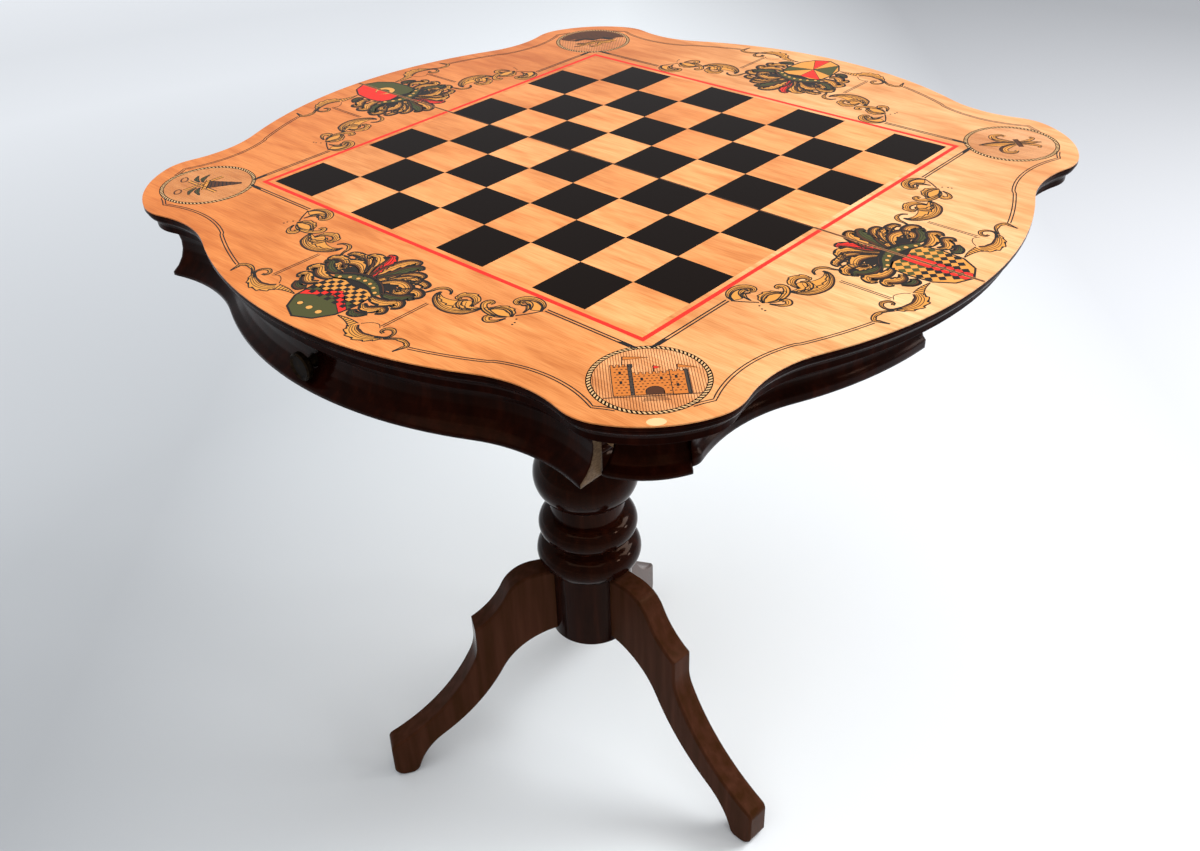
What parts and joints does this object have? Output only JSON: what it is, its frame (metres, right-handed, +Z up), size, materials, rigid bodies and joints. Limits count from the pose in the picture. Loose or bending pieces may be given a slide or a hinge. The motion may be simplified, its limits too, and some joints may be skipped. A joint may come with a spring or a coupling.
{
  "type": "folding chess table",
  "caption": "Chess table with a shaped, moulded top inlaid with a board, a fold-over half carried on pull-out lopers, a drawer and a turned column on sawn legs.",
  "frame": {"origin": "on the floor, under the middle of the open top", "axes": "+Z up, +Y along the seam between the leaves, the drawer opens towards -X"},
  "size_m": [0.731, 0.731, 0.692],
  "materials": {
    "dark_mahogany": "french-polished dark mahogany stain",
    "secondary_wood": "plain unpolished pale wood",
    "figured_maple": "polished honey-coloured figured veneer",
    "ruled_maple": "polished veneer with fine engraved ruling",
    "ebonised_veneer": "polished black-dyed veneer",
    "red_stringing": "polished red-dyed stringing",
    "rope_banding": "polished two-coloured twisted banding",
    "pale_patch": "polished pale veneer",
    "brass": "plain brass",
    "antique_bronze": "dark patinated bronze",
    "steel": "plain steel"
  },
  "bodies": {
    "table": {"near_leaf_core": "secondary_wood", "near_leaf_edge": "dark_mahogany", "near_field_veneer": "figured_maple", "near_dark_squares": "ebonised_veneer", "near_light_squares": "figured_maple", "near_red_stringing": "red_stringing", "near_rope_rings": "rope_banding", "near_medallions": "ruled_maple", "near_hinge_barrels": "brass", "rim_patch": "pale_patch", "apron_side_right": "dark_mahogany", "apron_side_left": "dark_mahogany", "apron_corner_right": "dark_mahogany", "apron_corner_left": "dark_mahogany", "back_rail": "secondary_wood", "case_bottom": "secondary_wood", "glue_blocks": "secondary_wood", "top_screws": "steel", "drawer_stops": "secondary_wood", "drawer_guide_right": "secondary_wood", "drawer_guide_left": "secondary_wood", "loper_guide_right": "secondary_wood", "loper_guide_left": "secondary_wood", "column_cleat": "dark_mahogany", "cleat_screws": "steel", "column": "dark_mahogany", "leg_1": "dark_mahogany", "leg_2": "dark_mahogany", "leg_3": "dark_mahogany", "leg_dowels": "secondary_wood"},
    "far_leaf": {"far_leaf_core": "secondary_wood", "far_leaf_edge": "dark_mahogany", "far_field_veneer": "figured_maple", "far_dark_squares": "ebonised_veneer", "far_light_squares": "figured_maple", "far_red_stringing": "red_stringing", "far_rope_rings": "rope_banding", "far_medallions": "ruled_maple", "far_hinge_barrels": "brass", "hinge_links": "brass"},
    "drawer": {"drawer_front": "dark_mahogany", "drawer_side_right": "secondary_wood", "drawer_side_left": "secondary_wood", "drawer_back": "secondary_wood", "drawer_bottom": "secondary_wood", "drawer_knob": "antique_bronze", "knob_screw": "steel"},
    "loper_right": {"loper_right": "dark_mahogany", "loper_pin_right": "secondary_wood"},
    "loper_left": {"loper_left": "dark_mahogany", "loper_pin_left": "secondary_wood"}
  },
  "joints": [
    {"name": "leaf_fold", "type": "hinge", "parent": "table", "child": "far_leaf", "pos_m": [0, 0, 0.69225], "axis": [0, -1, 0], "range_deg": [0, 180]},
    {"name": "drawer_slide", "type": "slide", "parent": "table", "child": "drawer", "axis": [-1, 0, 0], "range_m": [-0.02, 0.18]},
    {"name": "loper_right_slide", "type": "slide", "parent": "table", "child": "loper_right", "axis": [1, 0, 0], "range_m": [-0.16, 0]},
    {"name": "loper_left_slide", "type": "slide", "parent": "table", "child": "loper_left", "axis": [1, 0, 0], "range_m": [-0.16, 0]}
  ]
}
